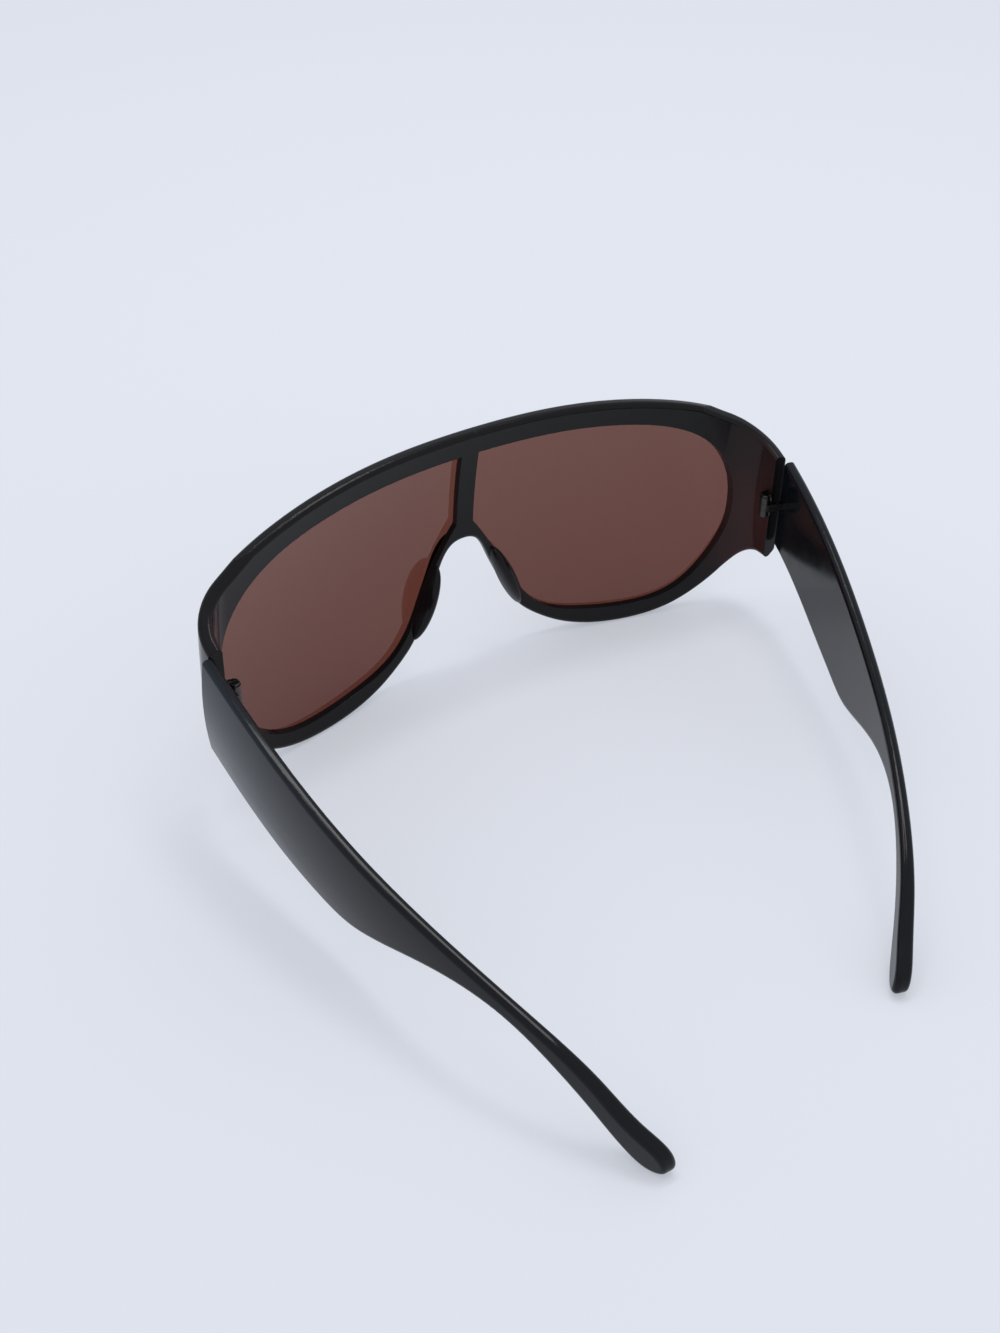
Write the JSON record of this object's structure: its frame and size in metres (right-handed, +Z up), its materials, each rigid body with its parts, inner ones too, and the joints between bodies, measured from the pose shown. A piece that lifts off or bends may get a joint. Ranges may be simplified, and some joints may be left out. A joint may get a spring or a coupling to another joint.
{
  "type": "oversized sunglasses",
  "caption": "Oversized full-rim shield sunglasses: a curved brown lens in a black front with an upright bar behind it, nose pads and broad folding temples on screw hinges.",
  "frame": {"origin": "on the table, under the middle of the overall box as the glasses lie", "axes": "+Z up from the table, -Y the way the front faces, +X the wearer's left"},
  "size_m": [0.1462, 0.1442, 0.0605],
  "materials": {
    "frame": "polished",
    "temples": "polished",
    "lens": "polished",
    "hinge_metal": "satin"
  },
  "bodies": {
    "front": {"front_frame": "frame", "shield_lens": "lens", "nose_pad_left": "frame", "nose_pad_right": "frame", "hinge_front_leaf_left": "hinge_metal", "hinge_front_leaf_right": "hinge_metal", "hinge_screw_left": "hinge_metal", "hinge_screw_right": "hinge_metal"},
    "left_temple": {"temple_left": "temples", "hinge_temple_leaf_left": "hinge_metal"},
    "right_temple": {"temple_right": "temples", "hinge_temple_leaf_right": "hinge_metal"}
  },
  "joints": [
    {"name": "left_temple_fold", "type": "hinge", "parent": "front", "child": "left_temple", "pos_m": [0.06617, -0.04654, 0.03153], "axis": [0, 0, 1], "range_deg": [0, 80]},
    {"name": "right_temple_fold", "type": "hinge", "parent": "front", "child": "right_temple", "pos_m": [-0.06643, -0.04654, 0.03153], "axis": [0, 0, -1], "range_deg": [-15, 55]}
  ]
}
